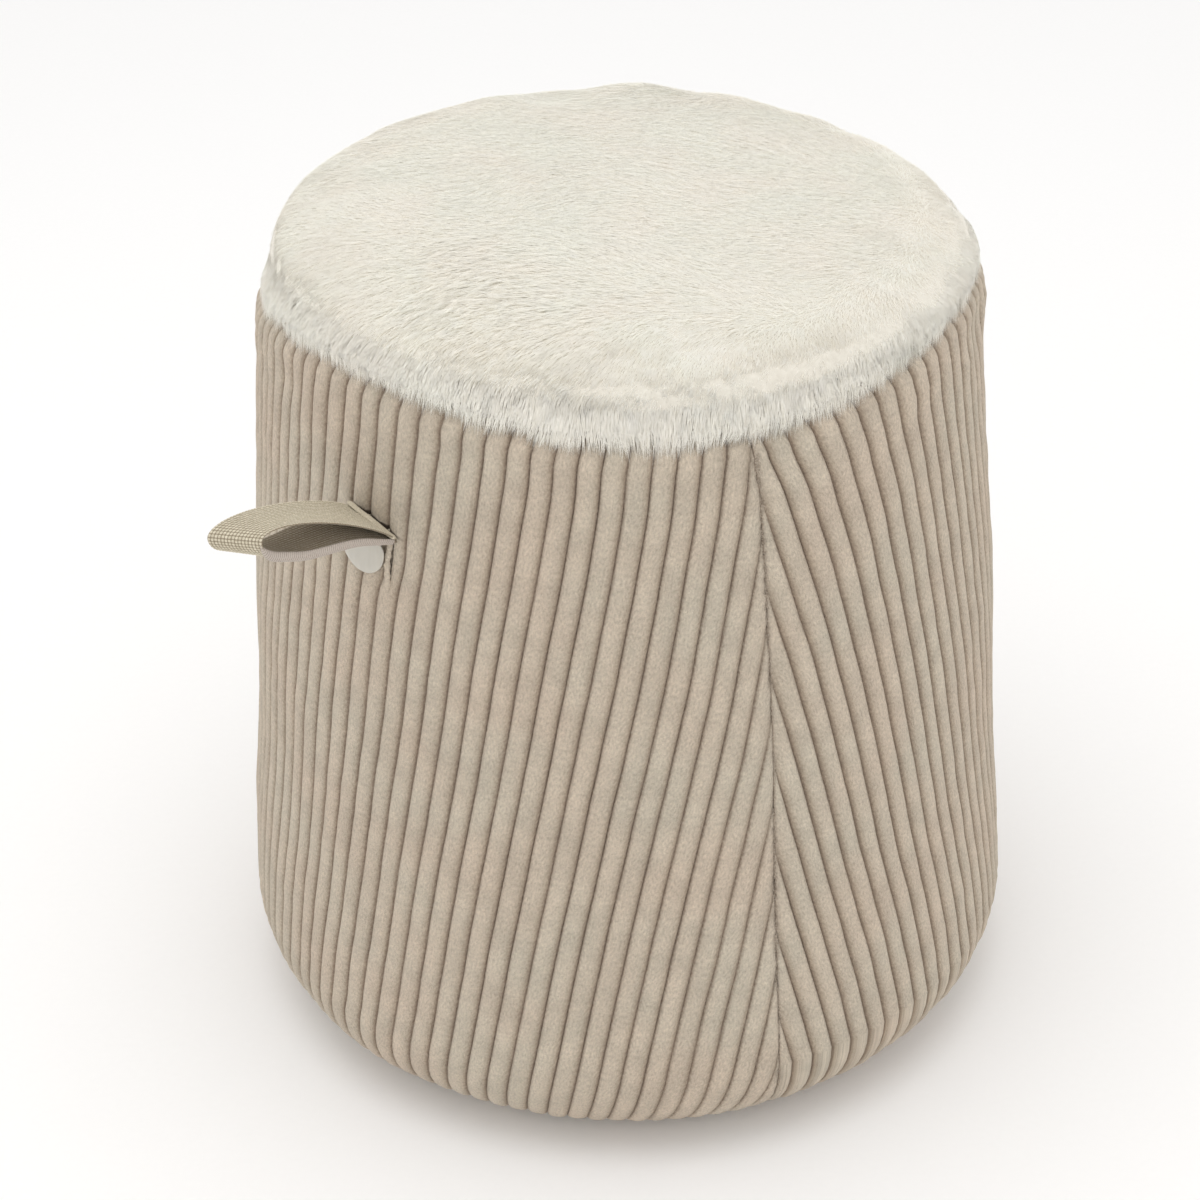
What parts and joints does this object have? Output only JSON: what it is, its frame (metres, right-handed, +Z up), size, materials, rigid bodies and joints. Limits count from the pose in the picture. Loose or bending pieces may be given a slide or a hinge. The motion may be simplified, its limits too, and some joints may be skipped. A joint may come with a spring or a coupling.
{
  "type": "storage ottoman",
  "caption": "Small round storage ottoman: tapered drum in wide-rib corduroy with a domed plush top, a webbing pull loop and a white tab at a slit near the rim.",
  "frame": {"origin": "centre of the flat base, on the surface the ottoman stands on", "axes": "+Z up, -Y towards the front; the cover's seam is 21 degrees round from the front towards +X, and the pull loop 35 degrees round towards -X"},
  "size_m": [0.3435, 0.3435, 0.3795],
  "materials": {
    "corduroy": "matte",
    "plush": "matte",
    "base_black": "matte",
    "webbing": "matte",
    "white_plastic": "satin"
  },
  "bodies": {
    "root": {"corduroy_drum": "corduroy", "plush_pad": "plush", "base_cloth": "base_black", "pull_loop": "webbing", "white_tab": "white_plastic"}
  },
  "joints": []
}
